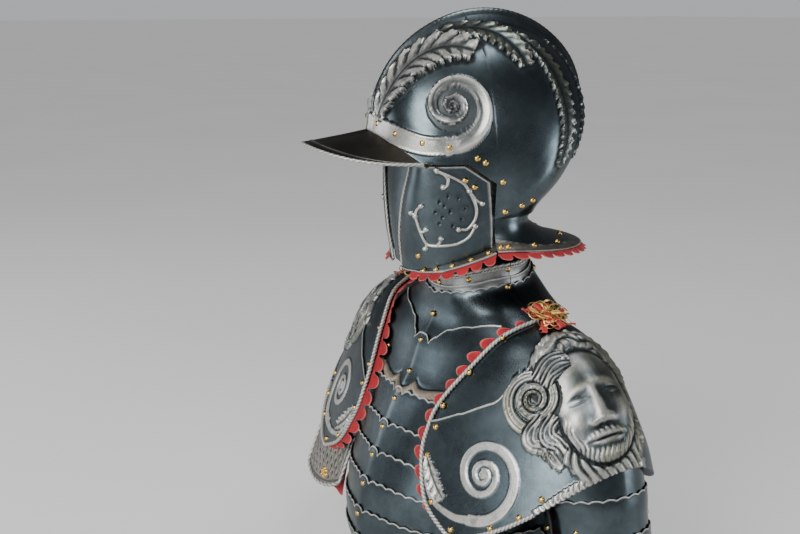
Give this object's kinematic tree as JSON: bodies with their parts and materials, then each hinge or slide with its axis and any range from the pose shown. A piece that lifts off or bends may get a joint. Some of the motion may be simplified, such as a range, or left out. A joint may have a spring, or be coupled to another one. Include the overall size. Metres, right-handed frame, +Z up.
{
  "type": "corselet with helmet",
  "caption": "Blued steel half armour with lamed breast, winged pauldrons, gorget and open burgonet whose cheek pieces swing on hinges.",
  "frame": {"origin": "middle of the wearer's neck base, where the armour rests and is held", "axes": "+Z up along the neck, -Y the way the wearer's chest faces, +X the wearer's left"},
  "size_m": [0.626, 0.3573, 0.7613],
  "materials": {
    "blued_steel": "blued and polished plate with silvered etched bands",
    "red_cloth": "matt woven cloth with scalloped edge",
    "strap_leather": "smooth brown leather",
    "gilt_brass": "gilt, satin"
  },
  "bodies": {
    "armour": {"arm_cannon_left": "blued_steel", "arm_cannon_right": "blued_steel", "arm_lame_1_left": "blued_steel", "arm_lame_1_right": "blued_steel", "arm_lame_2_left": "blued_steel", "arm_lame_2_right": "blued_steel", "back_plate": "blued_steel", "breast_lame_1": "blued_steel", "breast_lame_2": "blued_steel", "breast_lame_3": "blued_steel", "breast_lame_4": "blued_steel", "breast_lame_5": "blued_steel", "breast_lame_6": "blued_steel", "breast_lame_7": "blued_steel", "breast_plate": "blued_steel", "collar_lame_back": "blued_steel", "collar_lame_front": "blued_steel", "collar_rim_back": "blued_steel", "collar_rim_front": "blued_steel", "gorget_back": "blued_steel", "gorget_front": "blued_steel", "hinge_left": "gilt_brass", "hinge_right": "gilt_brass", "nape_border": "red_cloth", "nape_plate": "blued_steel", "pauldron_border_left": "red_cloth", "pauldron_border_right": "red_cloth", "pauldron_left": "blued_steel", "pauldron_right": "blued_steel", "pauldron_top_left": "blued_steel", "pauldron_top_right": "blued_steel", "peak": "blued_steel", "rosette_left": "red_cloth", "rosette_right": "red_cloth", "shoulder_strap_left": "strap_leather", "shoulder_strap_right": "strap_leather", "side_strap_left": "strap_leather", "side_strap_right": "strap_leather", "skull": "blued_steel", "waist_flange": "blued_steel", "wing_lining_left": "red_cloth", "wing_lining_right": "red_cloth", "wing_shell_left": "blued_steel", "wing_shell_right": "blued_steel"},
    "cheek_left": {"cheek_left": "blued_steel", "cheek_border_left": "red_cloth", "hinge_leaf_left": "gilt_brass", "chin_ring": "gilt_brass"},
    "cheek_right": {"cheek_right": "blued_steel", "cheek_border_right": "red_cloth", "hinge_leaf_right": "gilt_brass", "face_shield": "blued_steel"}
  },
  "joints": [
    {"name": "cheek_hinge_left", "type": "hinge", "parent": "armour", "child": "cheek_left", "pos_m": [0.0802, -0.06277, 0.11505], "axis": [-0.2021, -0.8106, 0.5496], "range_deg": [0, 75]},
    {"name": "cheek_hinge_right", "type": "hinge", "parent": "armour", "child": "cheek_right", "pos_m": [-0.10028, -0.01777, 0.11505], "axis": [0.2021, 0.8106, -0.5496], "range_deg": [0, 75]}
  ]
}
